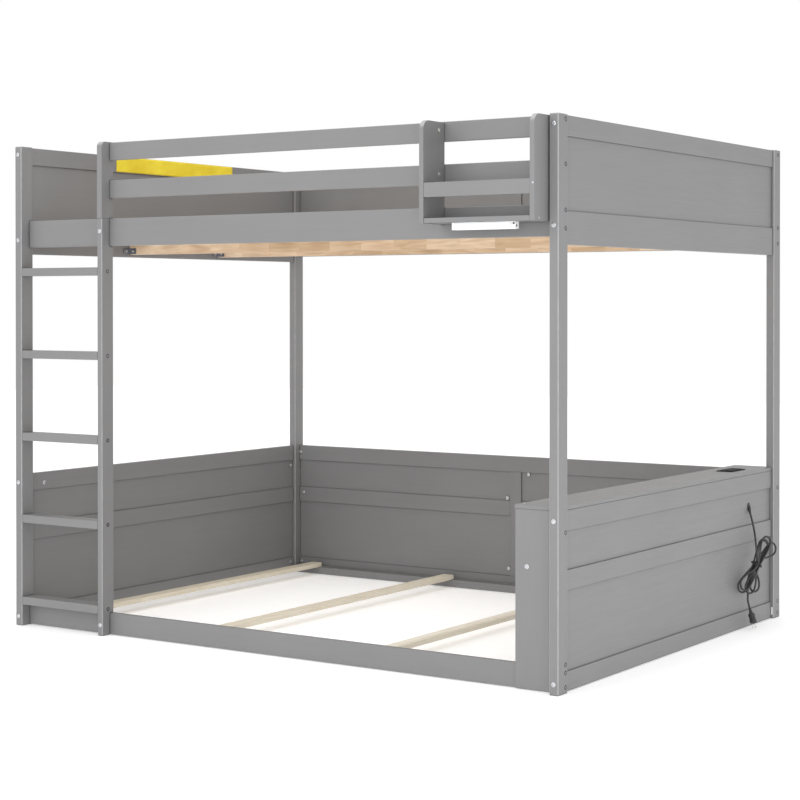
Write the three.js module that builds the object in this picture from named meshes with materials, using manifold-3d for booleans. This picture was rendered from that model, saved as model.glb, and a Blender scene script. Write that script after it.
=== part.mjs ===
// Bunk bed with a built-in ladder, a panelled lower bed with a storage headboard,
// and a small tray with a light bar on the upper guard rails.
// Millimetres, +Z up, +X along the front, +Y towards the back wall.

import * as THREE from 'three';
import { mergeVertices } from 'three/addons/utils/BufferGeometryUtils.js';
import Module from 'manifold-3d';

const wasm = await Module();
wasm.setup();

// ---- driving dimensions -------------------------------------------------
const LENGTH = 2220;              // outer faces of the posts, along X
const WIDTH = 1645;               // outer faces of the posts, along Y
const HEIGHT = 1705;              // top of the posts
const GAP = 0.3;                  // clearance wherever two pieces meet
const POST = { x: 31, y: 57 };    // post section
const TRAY_REACH = 80;            // how far the tray stands in front of the posts

// Heights of the horizontal members, [bottom, top].
const GUARD_TOP = [1642, 1703];
const GUARD_MID = [1511, 1573];
const SIDE_RAIL = [1346, 1441];
const END_RAIL = [1322, 1421];
const LOW_TOP = [476, 538];
const LOW_MID = [300, 360];
const LOW_BOTTOM = [2, 60];
const FRONT_FOOT = [3, 75.7];
const OVERCUT = 5;                // how far a cutting tool runs past the face it opens
const WELD = 1;                   // how far two joined shapes run into each other

// Front members are set back from the posts' front faces.
const FRONT = { face: 38, back: POST.y };
const BACK_FACE = WIDTH - 26;     // inner face of the back walls

// Framed walls: rails with a groove, a thin panel in it.
const UPPER_WALL = { inset: 5.5, rail: 20, panel: 8 };
const LOWER_WALL = { inset: 10, rail: 18, panel: 6 };
const GROOVE_DEPTH = 9;
const PANEL_TUCK = 8;

const STILE = { x: 396, thick: 22 };          // inner upright of the ladder
const BACK_STILE = [1084, 1134];              // centre upright of the back walls
const TREAD = { first: 76, pitch: 292, thick: 28, count: 5 };

const LEDGE = { wide: 24, tall: 30, rise: 20 };   // slat ledge glued to the upper rails
const FLOOR_LEDGE = { wide: 45, top: 30 };        // slat ledge on the lower rails
const SLAT = { wide: 68, thick: 16, count: 16, inset: 46, play: 3 };
const STRAP = { wide: 30, thick: 1.6, sink: 0.6, inset: 52, shares: [0.2, 0.8] };
const BEAM = { thick: 25, tall: 64 };
const FLOOR_SLAT = { wide: 50, thick: 18, starts: [120, 785, 1478], end: 1592, play: 2 };
const GUARD_END_ROUND = 18;                       // rounded top corner of the guard's end stile

const HEADBOARD = { x: 2055, front: 32, board: 18, top: 550, lid: 11.7, overhang: 2, foot: 2 };
const SHELF = { z: 290, thick: 15, setback: 3 };
// The socket unit: its rim overlaps the lid's window by lip, and its lead drops this far
// inside the body's right wall.
const STATION = { x: 2137, y: 1397, wide: 60, long: 118, body: 45, rim: 2.5, lip: 6, lead: 8 };

const TRAY = {
  left: 1785, right: 2185, board: 15, bottom: 1389, top: 1700, bar: [1467, 1511],
  round: 30, shelf: [1390, 1404],
};
const LIGHT = { x: 1996.5, long: 218, front: -55, deep: 20, bottom: 1368 };
const BUTTON = { x: 2090, z: 1378.5, radius: 5.5, proud: 2, sunk: 5, pocket: 8, clearance: 0.5 };

// Power cord: where it comes out of the headboard's outer panel, and how it hangs.
const CORD = { diameter: 7, exit: [LENGTH - 16, 1399, 428], hole: 6 };
const RELIEF = {
  tip: [2214, 1390, 405], tipWall: 0.8, neck: 6.5, flange: [10, 9], flangeThick: 3.5, rise: 2,
};
const HANK = { centre: [2256, 1358, 228], turn: 22, lean: [36, 48], radius: 52, thick: 34 };
// The plug's lengths run down from its top end, where the cord enters.
const PLUG = {
  top: [2241.4, 1326.8, 75.5], tip: [2251, 1351, 3],
  neck: { length: 20, radii: [4.2, 7.5] },
  body: { start: 18, length: 36, half: [13, 10] },
  blade: { spread: 6.35, thick: 1.6, from: -6.2, to: 0.2 },
  pin: { offset: 6.5, radius: 2.4 },
  root: 50, length: 74,
};
const DROP_POINTS = [
  [2214.5, 1389.7, 403.5], [2222, 1386, 384], [2230, 1381, 362], [2238, 1374, 340],
  [2245, 1364, 326], [2250, 1355, 319], [2252, 1351.5, 314],
];
const TAIL_POINTS = [
  [2234.6, 1325.5, 124], [2236, 1321.5, 108], [2239.2, 1321.2, 92.4], [2241.2, 1326.4, 76.7],
];

// ---- materials ----------------------------------------------------------
const finish = (color, roughness, metalness = 0) =>
  new THREE.MeshStandardMaterial({ color, roughness, metalness });
const GREY_PAINT = finish(0x97979a, 0.55);
const RAW_PINE = finish(0xd2b48c, 0.7);
const PALE_PINE = finish(0xd9d3c2, 0.7);
const BLACK_PLASTIC = finish(0x1c1c1e, 0.4);
const WHITE_PLASTIC = finish(0xf0f0ee, 0.35);
const BLACK_CORD = finish(0x18181a, 0.5);

// ---- scene graph --------------------------------------------------------
// The origin is at the middle of the footprint, on the floor.
const bed = new THREE.Group();
bed.position.set(-LENGTH / 2, -(WIDTH - TRAY_REACH) / 2, 0);
const group = new THREE.Group();
group.add(bed);

function place(name, geometry, material) {
  const mesh = new THREE.Mesh(geometry, material);
  mesh.name = name;
  bed.add(mesh);
  return mesh;
}

// ---- geometry helpers ---------------------------------------------------
const along = {
  // Matrices that turn an extrusion along +Z into one along X, Y or Z.
  // X keeps (y, z) outlines, Y keeps (x, z) outlines, Z keeps (x, y) outlines.
  x: new THREE.Matrix4().makeBasis(
    new THREE.Vector3(0, 1, 0), new THREE.Vector3(0, 0, 1), new THREE.Vector3(1, 0, 0)),
  y: new THREE.Matrix4().makeBasis(
    new THREE.Vector3(1, 0, 0), new THREE.Vector3(0, 0, 1), new THREE.Vector3(0, -1, 0)),
  z: new THREE.Matrix4(),
};

const outline = (points) => new THREE.Shape(points.map(([a, b]) => new THREE.Vector2(a, b)));

function box([x0, x1], [y0, y1], [z0, z1]) {
  const geometry = new THREE.BoxGeometry(x1 - x0, y1 - y0, z1 - z0);
  return geometry.translate((x0 + x1) / 2, (y0 + y1) / 2, (z0 + z1) / 2);
}

function prism(shape, axis, [from, to], curveSegments = 8) {
  const options = { depth: to - from, bevelEnabled: false, steps: 1, curveSegments };
  const geometry = new THREE.ExtrudeGeometry(shape, options).applyMatrix4(along[axis]);
  const shift = axis === 'y' ? to : from;
  return geometry.translate(...['x', 'y', 'z'].map((key) => (key === axis ? shift : 0)));
}

function solid(geometry) {
  const bare = geometry.clone();
  for (const key of Object.keys(bare.attributes)) {
    if (key !== 'position') bare.deleteAttribute(key);
  }
  const merged = mergeVertices(bare, 1e-4);
  return new wasm.Manifold(new wasm.Mesh({
    numProp: 3,
    vertProperties: new Float32Array(merged.attributes.position.array),
    triVerts: new Uint32Array(merged.index.array),
  }));
}

function surface(manifold) {
  const mesh = manifold.getMesh();
  const geometry = new THREE.BufferGeometry();
  geometry.setAttribute('position', new THREE.BufferAttribute(mesh.vertProperties, 3));
  geometry.setIndex(new THREE.BufferAttribute(mesh.triVerts, 1));
  geometry.computeVertexNormals();
  return geometry;
}

const join = (...parts) => surface(parts.map(solid).reduce((a, b) => a.add(b)));
const cut = (body, ...tools) => surface(
  tools.map(solid).reduce((rest, tool) => rest.subtract(tool), solid(body)));

// A round rod or cone whose axis runs from one point to another.
function rod(from, to, fromRadius, toRadius = fromRadius, sides = 16) {
  const start = new THREE.Vector3(...from);
  const end = new THREE.Vector3(...to);
  const direction = end.clone().sub(start);
  const geometry = new THREE.CylinderGeometry(toRadius, fromRadius, direction.length(), sides);
  const turn = new THREE.Quaternion().setFromUnitVectors(
    new THREE.Vector3(0, 1, 0), direction.clone().normalize());
  geometry.applyQuaternion(turn);
  const middle = start.add(end).multiplyScalar(0.5);
  return geometry.translate(middle.x, middle.y, middle.z);
}

function cordTube(points, steps) {
  const section = new THREE.Shape().absarc(0, 0, CORD.diameter / 2, 0, Math.PI * 2);
  const path = new THREE.CatmullRomCurve3(points.map((p) => new THREE.Vector3(...p)));
  return new THREE.ExtrudeGeometry(section, { steps, curveSegments: 10, extrudePath: path });
}

// Outline of a rail from low to high with a panel groove in one or both edges.
// across is the rail's [outer, inner] span; groove is the panel's span.
function groovedOutline(across, [low, high], groove, { below = false, above = false }) {
  const [a, b] = across;
  const [g, h] = [groove[0] - GAP, groove[1] + GAP];
  const points = [[a, low]];
  if (below) points.push([g, low], [g, low + GROOVE_DEPTH], [h, low + GROOVE_DEPTH], [h, low]);
  points.push([b, low], [b, high]);
  if (above) points.push([h, high], [h, high - GROOVE_DEPTH], [g, high - GROOVE_DEPTH], [g, high]);
  points.push([a, high]);
  return outline(points);
}

// ---- walls --------------------------------------------------------------
const BETWEEN_POSTS_Y = [POST.y + GAP, WIDTH - POST.y - GAP];
const BETWEEN_POSTS_X = [POST.x + GAP, LENGTH - POST.x - GAP];

// Rail and panel spans across a wall, from the face that is inset from the post's.
const span = (face, towards, { rail, panel }) => {
  const middle = face + towards * rail / 2;
  return {
    rail: [face, face + towards * rail].sort((a, b) => a - b),
    panel: [middle - panel / 2, middle + panel / 2],
  };
};

const panelHeights = (low, high) => [low - PANEL_TUCK, high + PANEL_TUCK];

function upperEnd(side, across) {
  const top = groovedOutline(across.rail, GUARD_TOP, across.panel, { below: true });
  const bottom = groovedOutline(across.rail, END_RAIL, across.panel, { above: true });
  place(`${side}_upper_top_rail`, prism(top, 'y', BETWEEN_POSTS_Y), GREY_PAINT);
  place(`${side}_upper_panel`,
    box(across.panel, BETWEEN_POSTS_Y, panelHeights(END_RAIL[1], GUARD_TOP[0])), GREY_PAINT);
  place(`${side}_upper_bottom_rail`, prism(bottom, 'y', BETWEEN_POSTS_Y), GREY_PAINT);
}

function lowerEnd(side, across, panelCuts = []) {
  const top = groovedOutline(across.rail, LOW_TOP, across.panel, { below: true });
  const bottom = groovedOutline(across.rail, LOW_BOTTOM, across.panel, { above: true });
  const panel = box(across.panel, BETWEEN_POSTS_Y, panelHeights(LOW_BOTTOM[1], LOW_TOP[0]));
  const batten = [across.panel[1] + GAP, across.rail[1]];
  place(`${side}_lower_top_rail`, prism(top, 'y', BETWEEN_POSTS_Y), GREY_PAINT);
  place(`${side}_lower_panel`, panelCuts.length ? cut(panel, ...panelCuts) : panel, GREY_PAINT);
  place(`${side}_lower_mid_rail`, box(batten, BETWEEN_POSTS_Y, LOW_MID), GREY_PAINT);
  place(`${side}_lower_bottom_rail`, prism(bottom, 'y', BETWEEN_POSTS_Y), GREY_PAINT);
}

const UPPER_LEDGE = [SIDE_RAIL[0] + LEDGE.rise, SIDE_RAIL[0] + LEDGE.rise + LEDGE.tall];
const SLAT_BOTTOM = UPPER_LEDGE[1] + GAP;

// An upper rail with the slat ledge standing out of its inner face.
const withUpperLedge = (rail, ledgeY) => join(rail, box(BETWEEN_POSTS_X, ledgeY, UPPER_LEDGE));

function backUpperWall() {
  const across = span(BACK_FACE, 1, UPPER_WALL);
  const top = groovedOutline(across.rail, GUARD_TOP, across.panel, { below: true });
  const bottom = groovedOutline(across.rail, SIDE_RAIL, across.panel, { above: true });
  const ledgeY = [BACK_FACE - LEDGE.wide, BACK_FACE + WELD];
  place('back_upper_top_rail', prism(top, 'x', BETWEEN_POSTS_X), GREY_PAINT);
  place('back_upper_panel',
    box(BETWEEN_POSTS_X, across.panel, panelHeights(SIDE_RAIL[1], GUARD_TOP[0])), GREY_PAINT);
  place('back_upper_stile',
    box(BACK_STILE, [BACK_FACE, across.panel[0] - GAP],
      [SIDE_RAIL[1] + GAP, GUARD_TOP[0] - GAP]), GREY_PAINT);
  place('back_upper_bottom_rail',
    withUpperLedge(prism(bottom, 'x', BETWEEN_POSTS_X), ledgeY), GREY_PAINT);
}

function backLowerWall() {
  const across = span(BACK_FACE, 1, LOWER_WALL);
  const top = groovedOutline(across.rail, LOW_TOP, across.panel, { below: true });
  const bottom = groovedOutline(across.rail, LOW_BOTTOM, across.panel, { above: true });
  const batten = [BACK_FACE, across.panel[0] - GAP];
  const ledge = box([BETWEEN_POSTS_X[0], HEADBOARD.x - GAP],
    [BACK_FACE - FLOOR_LEDGE.wide, BACK_FACE + WELD], [LOW_BOTTOM[0], FLOOR_LEDGE.top]);
  place('back_lower_top_rail', prism(top, 'x', BETWEEN_POSTS_X), GREY_PAINT);
  place('back_lower_panel',
    box(BETWEEN_POSTS_X, across.panel, panelHeights(LOW_BOTTOM[1], LOW_TOP[0])), GREY_PAINT);
  place('back_lower_stile',
    box(BACK_STILE, batten, [LOW_BOTTOM[1] + GAP, LOW_TOP[0] - GAP]), GREY_PAINT);
  place('back_lower_mid_rail_left',
    box([BETWEEN_POSTS_X[0], BACK_STILE[0] - GAP], batten, LOW_MID), GREY_PAINT);
  place('back_lower_mid_rail_right',
    box([BACK_STILE[1] + GAP, BETWEEN_POSTS_X[1]], batten, LOW_MID), GREY_PAINT);
  place('back_lower_bottom_rail', join(prism(bottom, 'x', BETWEEN_POSTS_X), ledge), GREY_PAINT);
}

// ---- frame --------------------------------------------------------------
function posts() {
  const leftX = [0, POST.x];
  const rightX = [LENGTH - POST.x, LENGTH];
  const frontY = [0, POST.y];
  const backY = [WIDTH - POST.y, WIDTH];
  const full = [0, HEIGHT];
  place('post_front_left', box(leftX, frontY, full), GREY_PAINT);
  place('post_front_right', box(rightX, frontY, full), GREY_PAINT);
  place('post_back_left', box(leftX, backY, full), GREY_PAINT);
  place('post_back_right', box(rightX, backY, full), GREY_PAINT);
}

function ladder() {
  const notch = FRONT.face - GAP;
  const stileOutline = outline([
    [0, 0], [notch, 0], [notch, FRONT_FOOT[1] + GAP], [POST.y, FRONT_FOOT[1] + GAP],
    [POST.y, SIDE_RAIL[0] - GAP], [notch, SIDE_RAIL[0] - GAP], [notch, SIDE_RAIL[1]],
    [0, SIDE_RAIL[1]],
  ]);
  const stileX = [STILE.x, STILE.x + STILE.thick];
  place('ladder_stile', prism(stileOutline, 'x', stileX), GREY_PAINT);

  const endOutline = new THREE.Shape()
    .moveTo(0, SIDE_RAIL[1] + GAP)
    .lineTo(POST.y, SIDE_RAIL[1] + GAP)
    .lineTo(POST.y, HEIGHT)
    .lineTo(GUARD_END_ROUND, HEIGHT)
    .absarc(GUARD_END_ROUND, HEIGHT - GUARD_END_ROUND, GUARD_END_ROUND,
      Math.PI / 2, Math.PI, false);
  place('guard_end_stile', prism(endOutline, 'x', stileX), GREY_PAINT);

  const treadX = [POST.x + GAP, STILE.x - GAP];
  for (let i = 0; i < TREAD.count; i += 1) {
    const bottom = TREAD.first + i * TREAD.pitch;
    place(`ladder_tread_${i + 1}`,
      box(treadX, [0, POST.y], [bottom, bottom + TREAD.thick]), GREY_PAINT);
  }
}

function frontRails() {
  const y = [FRONT.face, FRONT.back];
  const guardX = [STILE.x + STILE.thick + GAP, BETWEEN_POSTS_X[1]];
  const ledgeY = [FRONT.back - WELD, FRONT.back + LEDGE.wide];
  place('guard_rail_top', box(guardX, y, GUARD_TOP), GREY_PAINT);
  place('guard_rail_mid', box(guardX, y, GUARD_MID), GREY_PAINT);
  place('side_rail_front',
    withUpperLedge(box(BETWEEN_POSTS_X, y, SIDE_RAIL), ledgeY), GREY_PAINT);

  const footX = [BETWEEN_POSTS_X[0], HEADBOARD.x - GAP];
  const footLedge = box(footX, [FRONT.back - WELD, FRONT.back + FLOOR_LEDGE.wide],
    [FRONT_FOOT[0], FLOOR_LEDGE.top]);
  place('front_foot_rail', join(box(footX, y, FRONT_FOOT), footLedge), GREY_PAINT);
}

// ---- mattress supports --------------------------------------------------
function upperSupports() {
  const wallX = [UPPER_WALL.inset + UPPER_WALL.rail + GAP,
    LENGTH - UPPER_WALL.inset - UPPER_WALL.rail - GAP];
  const clearWidth = BACK_FACE - FRONT.back;
  ['front', 'back'].forEach((side, i) => {
    const middle = FRONT.back + clearWidth * (i + 1) / 3;
    const y = [middle - BEAM.thick / 2, middle + BEAM.thick / 2];
    place(`centre_beam_${side}`,
      box(wallX, y, [SLAT_BOTTOM - GAP - BEAM.tall, SLAT_BOTTOM - GAP]), RAW_PINE);
  });

  const slatY = [FRONT.back + SLAT.play, BACK_FACE - SLAT.play];
  const pitch = (LENGTH - 2 * SLAT.inset - SLAT.wide) / (SLAT.count - 1);
  const slatTop = SLAT_BOTTOM + SLAT.thick;
  const parts = [];
  for (let i = 0; i < SLAT.count; i += 1) {
    const x = SLAT.inset + i * pitch;
    parts.push(box([x, x + SLAT.wide], slatY, [SLAT_BOTTOM, slatTop]));
  }
  const strapX = [STRAP.inset, LENGTH - STRAP.inset];
  for (const share of STRAP.shares) {
    const y = FRONT.back + clearWidth * share;
    const z = [slatTop - STRAP.sink, slatTop - STRAP.sink + STRAP.thick];
    parts.push(box(strapX, [y - STRAP.wide / 2, y + STRAP.wide / 2], z));
  }
  place('slat_deck', join(...parts), RAW_PINE);
}

function floorSlats() {
  FLOOR_SLAT.starts.forEach((x, i) => {
    const bottom = FLOOR_LEDGE.top + GAP;
    place(`floor_slat_${i + 1}`,
      box([x, x + FLOOR_SLAT.wide], [FRONT.back + FLOOR_SLAT.play, FLOOR_SLAT.end],
        [bottom, bottom + FLOOR_SLAT.thick]), PALE_PINE);
  });
}

// ---- tray and light -----------------------------------------------------
function tray() {
  const y = [-TRAY_REACH, FRONT.face - GAP];
  const side = new THREE.Shape()
    .moveTo(y[0], TRAY.bottom)
    .lineTo(y[1], TRAY.bottom)
    .lineTo(y[1], TRAY.top)
    .lineTo(y[0] + TRAY.round, TRAY.top)
    .absarc(y[0] + TRAY.round, TRAY.top - TRAY.round, TRAY.round, Math.PI / 2, Math.PI, false);
  const inside = [TRAY.left + TRAY.board + GAP, TRAY.right - TRAY.board - GAP];
  place('tray_bracket_left',
    prism(side, 'x', [TRAY.left, TRAY.left + TRAY.board]), GREY_PAINT);
  place('tray_bracket_right',
    prism(side, 'x', [TRAY.right - TRAY.board, TRAY.right]), GREY_PAINT);
  place('tray_front_bar',
    box(inside, [-TRAY_REACH, -TRAY_REACH + TRAY.board], TRAY.bar), GREY_PAINT);
  place('tray_shelf', box(inside, y, TRAY.shelf), GREY_PAINT);
}

function lightBar() {
  const face = LIGHT.front;
  const { x, z } = BUTTON;
  const body = box([LIGHT.x - LIGHT.long / 2, LIGHT.x + LIGHT.long / 2],
    [face, face + LIGHT.deep], [LIGHT.bottom, TRAY.shelf[0] - GAP]);
  const pocket = rod([x, face - OVERCUT, z], [x, face + BUTTON.pocket, z],
    BUTTON.radius + BUTTON.clearance, BUTTON.radius + BUTTON.clearance, 24);
  place('light_bar', cut(body, pocket), WHITE_PLASTIC);
  place('light_button',
    rod([x, face - BUTTON.proud, z], [x, face + BUTTON.sunk, z],
      BUTTON.radius, BUTTON.radius, 24), WHITE_PLASTIC);
}

// ---- storage headboard --------------------------------------------------
function headboard() {
  const postFace = LENGTH - POST.x - GAP;
  place('headboard_end',
    box([HEADBOARD.x, postFace],
      [HEADBOARD.front, HEADBOARD.front + HEADBOARD.board],
      [HEADBOARD.foot, LOW_TOP[1]]), GREY_PAINT);
  place('headboard_shelf',
    box([HEADBOARD.x + SHELF.setback, postFace],
      [HEADBOARD.front + HEADBOARD.board + GAP, BACK_FACE - GAP],
      [SHELF.z, SHELF.z + SHELF.thick]), GREY_PAINT);

  const x0 = HEADBOARD.x - HEADBOARD.overhang;
  const x1 = LENGTH - LOWER_WALL.inset;
  const y0 = HEADBOARD.front - HEADBOARD.overhang;
  const lid = outline([
    [x0, y0], [postFace, y0], [postFace, POST.y + GAP], [x1, POST.y + GAP],
    [x1, WIDTH - POST.y - GAP], [postFace, WIDTH - POST.y - GAP],
    [postFace, BACK_FACE - GAP], [x0, BACK_FACE - GAP],
  ]);
  const z = [HEADBOARD.top - HEADBOARD.lid, HEADBOARD.top];
  const halfWide = STATION.wide / 2 - STATION.lip;
  const halfLong = STATION.long / 2 - STATION.lip;
  const window = box([STATION.x - halfWide, STATION.x + halfWide],
    [STATION.y - halfLong, STATION.y + halfLong], [z[0] - OVERCUT, z[1] + OVERCUT]);
  place('headboard_top', cut(prism(lid, 'z', z), window), GREY_PAINT);
}

// The socket unit sits in the lid's window, with its own short lead to the panel's hole.
function chargingStation() {
  const top = HEADBOARD.top;
  const [exitX, exitY, exitZ] = CORD.exit;
  const inset = STATION.lip + 2 * GAP;
  const half = { x: STATION.wide / 2, y: STATION.long / 2 };
  const rim = box([STATION.x - half.x, STATION.x + half.x],
    [STATION.y - half.y, STATION.y + half.y], [top + GAP, top + GAP + STATION.rim]);
  const bodyX = [STATION.x - half.x + inset, STATION.x + half.x - inset];
  const body = box(bodyX, [STATION.y - half.y + inset, STATION.y + half.y - inset],
    [top - STATION.body, top + GAP + WELD]);
  const leadX = bodyX[1] - STATION.lead;
  const knee = [leadX, exitY, exitZ];
  const radius = CORD.diameter / 2;
  const down = rod([leadX, exitY, top - STATION.body + WELD], knee, radius, radius, 12);
  const elbow = new THREE.SphereGeometry(radius * 1.02, 12, 8).translate(...knee);
  const out = rod(knee, [exitX - GAP, exitY, exitZ], radius, radius, 12);
  place('charging_station', join(rim, body, down, elbow, out), BLACK_PLASTIC);
}

// ---- power cord ---------------------------------------------------------
function cordRelief() {
  const [x, y, z] = CORD.exit;
  const radius = CORD.diameter / 2;
  const flange = rod([x + GAP, y, z], [x + RELIEF.flangeThick, y, z], ...RELIEF.flange, 20);
  const neck = rod([x + WELD, y, z + RELIEF.rise], RELIEF.tip,
    RELIEF.neck, radius + RELIEF.tipWall);
  const reach = 3 * RELIEF.flange[0];
  const behind = box([x - reach, x + GAP], [y - reach, y + reach], [z - reach, z + reach]);
  place('cord_relief', cut(join(flange, neck), behind), BLACK_CORD);
}

function hank() {
  const [u, v] = HANK.lean;
  const lean = Math.atan2(v, u);
  const half = Math.hypot(u, v);
  const stadium = new THREE.Shape()
    .absarc(half, 0, HANK.radius, -Math.PI / 2, Math.PI / 2, false)
    .absarc(-half, 0, HANK.radius, Math.PI / 2, Math.PI * 1.5, false);
  const geometry = new THREE.ExtrudeGeometry(
    stadium, { depth: HANK.thick, bevelEnabled: false, steps: 1, curveSegments: 10 });
  geometry.translate(0, 0, -HANK.thick / 2);
  const turn = THREE.MathUtils.degToRad(HANK.turn);
  const sideways = new THREE.Vector3(Math.sin(turn), Math.cos(turn), 0);
  const up = new THREE.Vector3(0, 0, 1);
  const outward = sideways.clone().cross(up);
  geometry.rotateZ(lean);
  geometry.applyMatrix4(new THREE.Matrix4().makeBasis(sideways, up, outward));
  place('cord_hank', geometry.translate(...HANK.centre), BLACK_CORD);
}

function plug() {
  const top = new THREE.Vector3(...PLUG.top);
  const axis = new THREE.Vector3(...PLUG.tip).sub(top).normalize();
  const neck = rod([0, 0, 0], [0, -PLUG.neck.length, 0], ...PLUG.neck.radii);
  const bodyOutline = new THREE.Shape().absellipse(0, 0, ...PLUG.body.half, 0, Math.PI * 2);
  const body = new THREE.ExtrudeGeometry(bodyOutline,
    { depth: PLUG.body.length, bevelEnabled: false, steps: 1, curveSegments: 12 });
  body.rotateX(Math.PI / 2).translate(0, -PLUG.body.start, 0);
  const { spread, thick, from, to } = PLUG.blade;
  const blades = [-spread, spread].map(
    (x) => box([x - thick / 2, x + thick / 2], [-PLUG.length, -PLUG.root], [from, to]));
  const { offset, radius } = PLUG.pin;
  const pin = rod([0, -PLUG.root, offset], [0, -PLUG.length, offset], radius, radius, 12);
  const geometry = join(neck, body, ...blades, pin);
  geometry.applyQuaternion(
    new THREE.Quaternion().setFromUnitVectors(new THREE.Vector3(0, -1, 0), axis));
  place('power_plug', geometry.translate(top.x, top.y, top.z), BLACK_PLASTIC);
}

function cord() {
  cordRelief();
  place('cord_drop', cordTube(DROP_POINTS, 10), BLACK_CORD);
  hank();
  place('cord_tail', cordTube(TAIL_POINTS, 4), BLACK_CORD);
  plug();
}

// ---- assembly -----------------------------------------------------------
const [exitX, exitY, exitZ] = CORD.exit;
const holeReach = LOWER_WALL.rail;
const cordHole = rod([exitX - holeReach, exitY, exitZ], [exitX + holeReach, exitY, exitZ],
  CORD.hole, CORD.hole, 20);

posts();
ladder();
frontRails();
upperEnd('left', span(UPPER_WALL.inset, 1, UPPER_WALL));
upperEnd('right', span(LENGTH - UPPER_WALL.inset, -1, UPPER_WALL));
backUpperWall();
lowerEnd('left', span(POST.x - LOWER_WALL.inset, -1, LOWER_WALL));
lowerEnd('right', span(LENGTH - LOWER_WALL.inset, -1, LOWER_WALL), [cordHole]);
backLowerWall();
upperSupports();
floorSlats();
tray();
lightBar();
headboard();
chargingStation();
cord();

export default group;
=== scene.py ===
"""Looks of the bunk bed: camera, power cord, finishes, fasteners, light, sockets and studio."""

import math

import bmesh
import bpy
from mathutils import Matrix, Vector


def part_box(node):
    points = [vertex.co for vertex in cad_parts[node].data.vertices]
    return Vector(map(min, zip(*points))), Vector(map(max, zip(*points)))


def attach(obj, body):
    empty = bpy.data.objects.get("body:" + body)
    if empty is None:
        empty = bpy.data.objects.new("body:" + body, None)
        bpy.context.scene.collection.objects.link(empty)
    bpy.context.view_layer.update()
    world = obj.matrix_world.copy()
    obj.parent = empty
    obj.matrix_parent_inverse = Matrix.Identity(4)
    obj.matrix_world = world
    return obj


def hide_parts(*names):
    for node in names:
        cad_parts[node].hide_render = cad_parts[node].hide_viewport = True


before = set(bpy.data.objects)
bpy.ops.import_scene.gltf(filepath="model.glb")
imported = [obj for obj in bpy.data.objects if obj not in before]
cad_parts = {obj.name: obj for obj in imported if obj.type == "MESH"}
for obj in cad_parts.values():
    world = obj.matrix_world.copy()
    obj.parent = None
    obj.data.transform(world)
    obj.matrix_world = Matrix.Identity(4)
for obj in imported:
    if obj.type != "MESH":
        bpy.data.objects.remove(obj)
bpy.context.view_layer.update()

# Bed coordinates are millimetres from the outer front corner of the left post, on the floor.
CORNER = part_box("post_front_left")[0]
MM = 0.001
LENGTH = 2220
WIDTH = 1645
AXES = {"X": Vector((1, 0, 0)), "Y": Vector((0, 1, 0)), "Z": Vector((0, 0, 1))}
FRONT, RIGHT, BACK, LEFT, UP = -AXES["Y"], AXES["X"], AXES["Y"], -AXES["X"], AXES["Z"]


def at(x, y, z):
    """A point in bed coordinates, as a point of the frame in metres."""
    return CORNER + Vector((x, y, z)) * MM


def bed_box(node):
    """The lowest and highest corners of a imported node, in bed coordinates."""
    return [(corner - CORNER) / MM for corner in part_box(node)]


# ---- camera ---------------------------------------------------------------------------------
SENSOR_WIDTH = 36
LENS = 83.62
LENS_SHIFT = (-0.0625, -0.1024)
CAMERA_PLACE = (4893, -4722, 1155)
CAMERA_TURN = 32.85     # degrees to the left of looking straight at the back wall
CAMERA_DIP = 0.52       # degrees below level


def make_camera():
    """The camera of the main view."""
    data = bpy.data.cameras.new("camera")
    data.sensor_width = SENSOR_WIDTH
    data.lens = LENS
    data.shift_x, data.shift_y = LENS_SHIFT
    camera = bpy.data.objects.new("camera", data)
    camera.location = at(*CAMERA_PLACE)
    camera.rotation_euler = (math.radians(90 - CAMERA_DIP), 0, math.radians(CAMERA_TURN))
    bpy.context.scene.collection.objects.link(camera)
    bpy.context.scene.camera = camera


# ---- mesh helpers ---------------------------------------------------------------------------
def add_object(name, data, material, smooth=True):
    """A new piece that rides on the bed."""
    piece = bpy.data.objects.new(name, data)
    bpy.context.scene.collection.objects.link(piece)
    data.materials.append(material)
    if smooth and isinstance(data, bpy.types.Mesh):
        data.shade_smooth()
    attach(piece, "bed")
    return piece


def mesh_object(name, shape, material, smooth=True):
    """A new piece from a bmesh, which it uses up."""
    bmesh.ops.recalc_face_normals(shape, faces=shape.faces)
    data = bpy.data.meshes.new(name)
    shape.to_mesh(data)
    shape.free()
    return add_object(name, data, material, smooth)


def facing(point, direction, spin=0.0):
    """The placement whose local +Z points along direction at a point of the frame."""
    turn = Vector(direction).to_track_quat("Z", "Y").to_matrix().to_4x4()
    return Matrix.Translation(point) @ turn @ Matrix.Rotation(spin, 4, "Z")


def loft(shape, rings, place=None):
    """Skins rings of points, which all have the same number, and caps the two ends."""
    place = place or Matrix.Identity(4)
    loops = [[shape.verts.new(place @ Vector(p)) for p in ring] for ring in rings]
    for low, high in zip(loops, loops[1:]):
        for i in range(len(low)):
            j = (i + 1) % len(low)
            shape.faces.new((low[i], low[j], high[j], high[i]))
    shape.faces.new(list(reversed(loops[0])))
    shape.faces.new(loops[-1])


def circle(radius, z, sides=24):
    """A ring of points; radius is a number of millimetres or a function of the angle."""
    size = radius if callable(radius) else (lambda angle: radius)
    angles = [2 * math.pi * i / sides for i in range(sides)]
    return [Vector((size(a) * math.cos(a), size(a) * math.sin(a), z)) * MM for a in angles]


def hexagon(half_width):
    """The radius, by angle, of a hexagon with that half width across its flats."""
    sixth = math.pi / 3
    return lambda angle: half_width / math.cos((angle + sixth / 2) % sixth - sixth / 2)


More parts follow.
